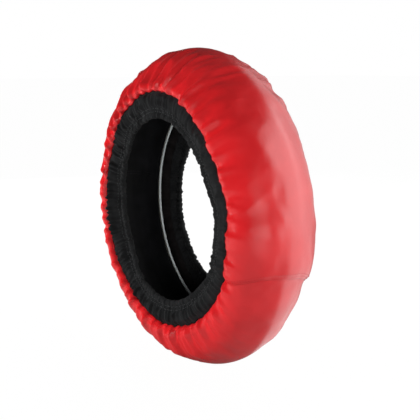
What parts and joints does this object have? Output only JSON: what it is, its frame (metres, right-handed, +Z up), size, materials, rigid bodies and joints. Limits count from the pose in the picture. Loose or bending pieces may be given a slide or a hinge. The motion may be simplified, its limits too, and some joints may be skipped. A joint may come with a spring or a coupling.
{
  "type": "motorcycle tire warmer",
  "caption": "Padded heated cloth ring that wraps a motorcycle tyre, with a hook-and-loop closure and an elastic gathered gaiter on each side.",
  "frame": {"origin": "on the floor, under the middle of the ring as it stands on its tread", "axes": "+Z up, +Y along the axle to the far side, +X to the side where the closure is; the near side faces -Y"},
  "size_m": [0.6575, 0.2008, 0.6468],
  "materials": {
    "red_nylon": "coated satin nylon cloth",
    "black_gaiter_cloth": "matt woven cloth",
    "black_lining_cloth": "smooth heat-proof cloth",
    "black_piping": "glossy coated piping",
    "grey_felt": "needled felt",
    "black_elastic": "woven elastic",
    "silicone_wire": "smooth silicone",
    "black_tape": "hook-and-loop tape",
    "plated_steel": "plated",
    "black_rubber": "moulded, satin"
  },
  "bodies": {
    "root": {"outer_shell": "red_nylon", "near_gaiter": "black_gaiter_cloth", "far_gaiter": "black_gaiter_cloth", "near_elastic": "black_elastic", "far_elastic": "black_elastic", "insulation_felt": "grey_felt", "heating_wire": "silicone_wire", "splice_sleeve_1": "plated_steel", "splice_sleeve_2": "plated_steel", "thermostat": "plated_steel", "inner_lining": "black_lining_cloth", "near_piping": "black_piping", "far_piping": "black_piping", "loop_tape": "black_tape", "hook_tape": "black_tape", "cable_gland": "black_rubber"}
  },
  "joints": []
}
